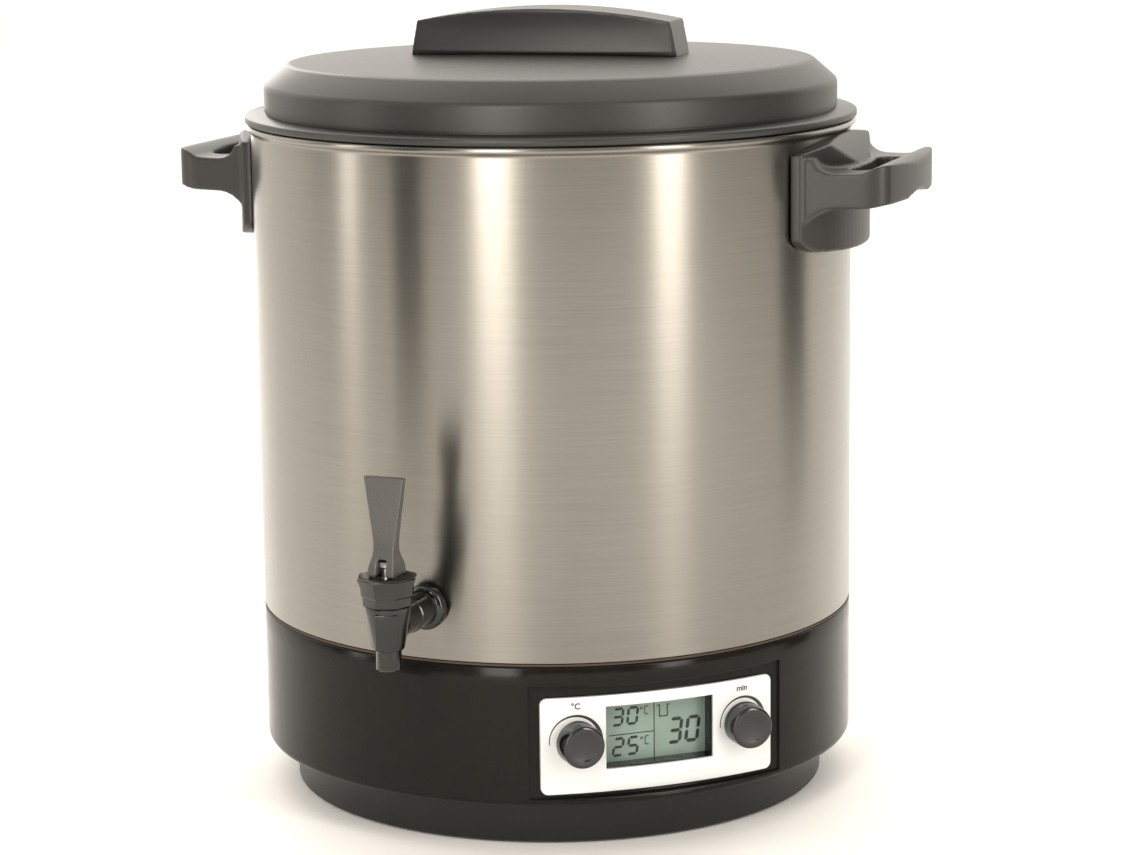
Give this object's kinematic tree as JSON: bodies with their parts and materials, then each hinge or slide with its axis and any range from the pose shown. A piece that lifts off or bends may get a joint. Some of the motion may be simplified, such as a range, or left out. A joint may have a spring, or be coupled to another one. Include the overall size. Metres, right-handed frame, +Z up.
{
  "type": "yogurt maker",
  "caption": "Lidded brushed-steel vessel on a heated black plastic base, with side handles, a lever dispensing tap and a recessed panel with a display and rotary knobs.",
  "frame": {"origin": "on the vessel's axis at the level of the floor it stands on", "axes": "+Z up; the side handles lie along X; -Y is the front, with the tap 8 degrees to its left and the control panel 36 degrees to its right"},
  "size_m": [0.456, 0.4284, 0.469],
  "materials": {
    "brushed_steel": "brushed",
    "charcoal_plastic": "satin",
    "gloss_black_plastic": "gloss",
    "satin_black_plastic": "satin",
    "foot_rubber": "matte",
    "seam_silicone": "satin",
    "zinc_screws": "polished",
    "white_panel": "satin",
    "clear_window": "gloss",
    "lcd_glass": "satin",
    "circuit_board": "satin",
    "component_plastic": "satin",
    "knob_plastic": "gloss",
    "spreader_aluminium": "satin",
    "element_steel": "satin",
    "shield_steel": "polished",
    "brass": "polished",
    "tap_plastic": "gloss",
    "lever_plastic": "satin",
    "black_silicone": "satin"
  },
  "bodies": {
    "body": {"pot": "brushed_steel", "handle_left": "charcoal_plastic", "handle_right": "charcoal_plastic", "base_housing": "gloss_black_plastic", "base_pan": "satin_black_plastic", "foot_1": "foot_rubber", "foot_2": "foot_rubber", "foot_3": "foot_rubber", "foot_4": "foot_rubber", "seam_gasket": "seam_silicone", "handle_left_screw_1": "zinc_screws", "handle_left_screw_2": "zinc_screws", "handle_right_screw_1": "zinc_screws", "handle_right_screw_2": "zinc_screws", "clamp_screw_1": "zinc_screws", "clamp_screw_2": "zinc_screws", "clamp_screw_3": "zinc_screws", "pan_screw_1": "zinc_screws", "pan_screw_2": "zinc_screws", "pan_screw_3": "zinc_screws", "pan_screw_4": "zinc_screws", "board_screw_1": "zinc_screws", "board_screw_2": "zinc_screws", "tap_spring": "zinc_screws", "panel_fascia": "white_panel", "display_window": "clear_window", "lcd_module": "lcd_glass", "control_board": "circuit_board", "power_board": "circuit_board", "temperature_potentiometer": "component_plastic", "timer_potentiometer": "component_plastic", "thermal_cutout": "component_plastic", "relay": "component_plastic", "transformer": "component_plastic", "power_inlet": "component_plastic", "heat_spreader": "spreader_aluminium", "heating_element": "element_steel", "heat_shield": "shield_steel", "temperature_sensor": "brass", "inlet_pin_1": "brass", "inlet_pin_2": "brass", "inlet_pin_3": "brass", "tap_body": "tap_plastic", "tap_bonnet": "tap_plastic", "tap_lock_nut": "tap_plastic", "tap_outer_washer": "black_silicone", "tap_inner_washer": "black_silicone"},
    "lid": {"lid_shell": "charcoal_plastic", "lid_handle": "charcoal_plastic", "lid_handle_screw_1": "zinc_screws", "lid_handle_screw_2": "zinc_screws"},
    "temperature_dial": {"temperature_spindle": "zinc_screws", "temperature_knob": "knob_plastic"},
    "timer_dial": {"timer_spindle": "zinc_screws", "timer_knob": "knob_plastic"},
    "tap_valve": {"tap_stem": "zinc_screws", "tap_seat_cup": "black_silicone", "tap_lever_pin": "zinc_screws"},
    "tap_handle": {"tap_lever": "lever_plastic"}
  },
  "joints": [
    {"name": "lid_lift", "type": "slide", "parent": "body", "child": "lid", "axis": [0, 0, 1], "range_m": [0, 0.18]},
    {"name": "temperature_knob_turn", "type": "hinge", "parent": "body", "child": "temperature_dial", "pos_m": [0.05891, -0.16869, 0.0655], "axis": [-0.5878, 0.809, 0], "range_deg": [-150, 150]},
    {"name": "timer_knob_turn", "type": "hinge", "parent": "body", "child": "timer_dial", "pos_m": [0.14223, -0.10815, 0.0655], "axis": [-0.5878, 0.809, 0], "range_deg": [-150, 150]},
    {"name": "tap_stem_lift", "type": "slide", "parent": "body", "child": "tap_valve", "axis": [0, 0, 1], "range_m": [0, 0.005], "deforming": ["tap_spring"]},
    {"name": "tap_lever_tilt", "type": "hinge", "parent": "tap_valve", "child": "tap_handle", "pos_m": [-0.03201, -0.22776, 0.1773], "axis": [0.9903, -0.1392, 0], "range_deg": [0, 40], "stiffness_Nm_per_rad": 0.25, "springref_deg": -20.05}
  ],
  "couplings": [
    {"joint": "tap_stem_lift", "follows": "tap_lever_tilt", "m_per_rad": 0.0071613}
  ]
}
